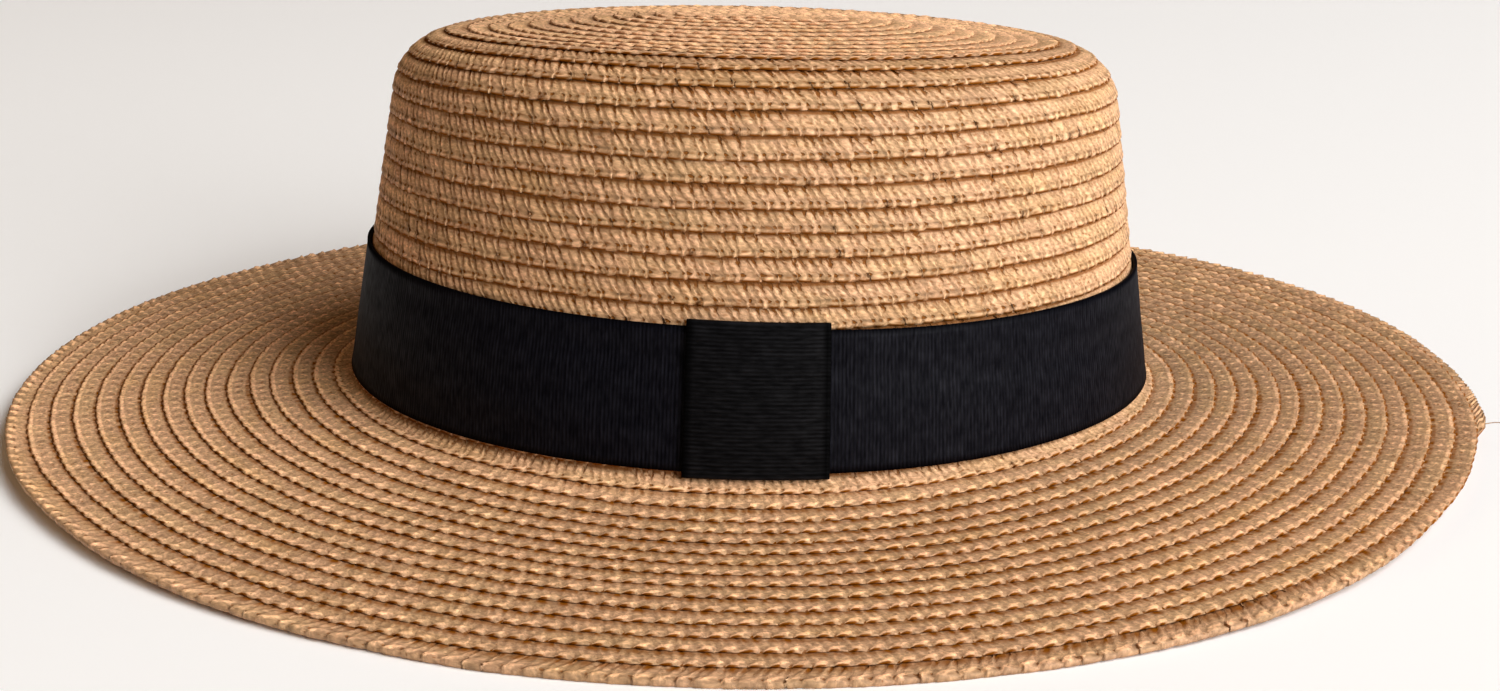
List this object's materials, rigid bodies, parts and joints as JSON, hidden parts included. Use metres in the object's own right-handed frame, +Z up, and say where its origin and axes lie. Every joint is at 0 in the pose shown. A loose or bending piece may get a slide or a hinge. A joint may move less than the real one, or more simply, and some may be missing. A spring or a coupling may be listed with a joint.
{
  "type": "straw boater hat with a ribbon band",
  "caption": "Flat-topped oval straw hat with a wide, nearly flat round brim and a black ribbon band closed by a ribbon keeper.",
  "frame": {"origin": "on the surface that the hat rests on, under the middle of its outline", "axes": "+Z up, out of the flat top; +X along the hat's length, towards the wearer's back; -Y is the side with the band's keeper, the wearer's left"},
  "size_m": [0.364, 0.336, 0.0981],
  "materials": {
    "straw_braid": "sewn braid of twisted paper straw, matt with a faint sheen",
    "ribbon": "black grosgrain, matt"
  },
  "bodies": {
    "root": {"crown": "straw_braid", "brim": "straw_braid", "band": "ribbon", "band_keeper": "ribbon"}
  },
  "joints": []
}
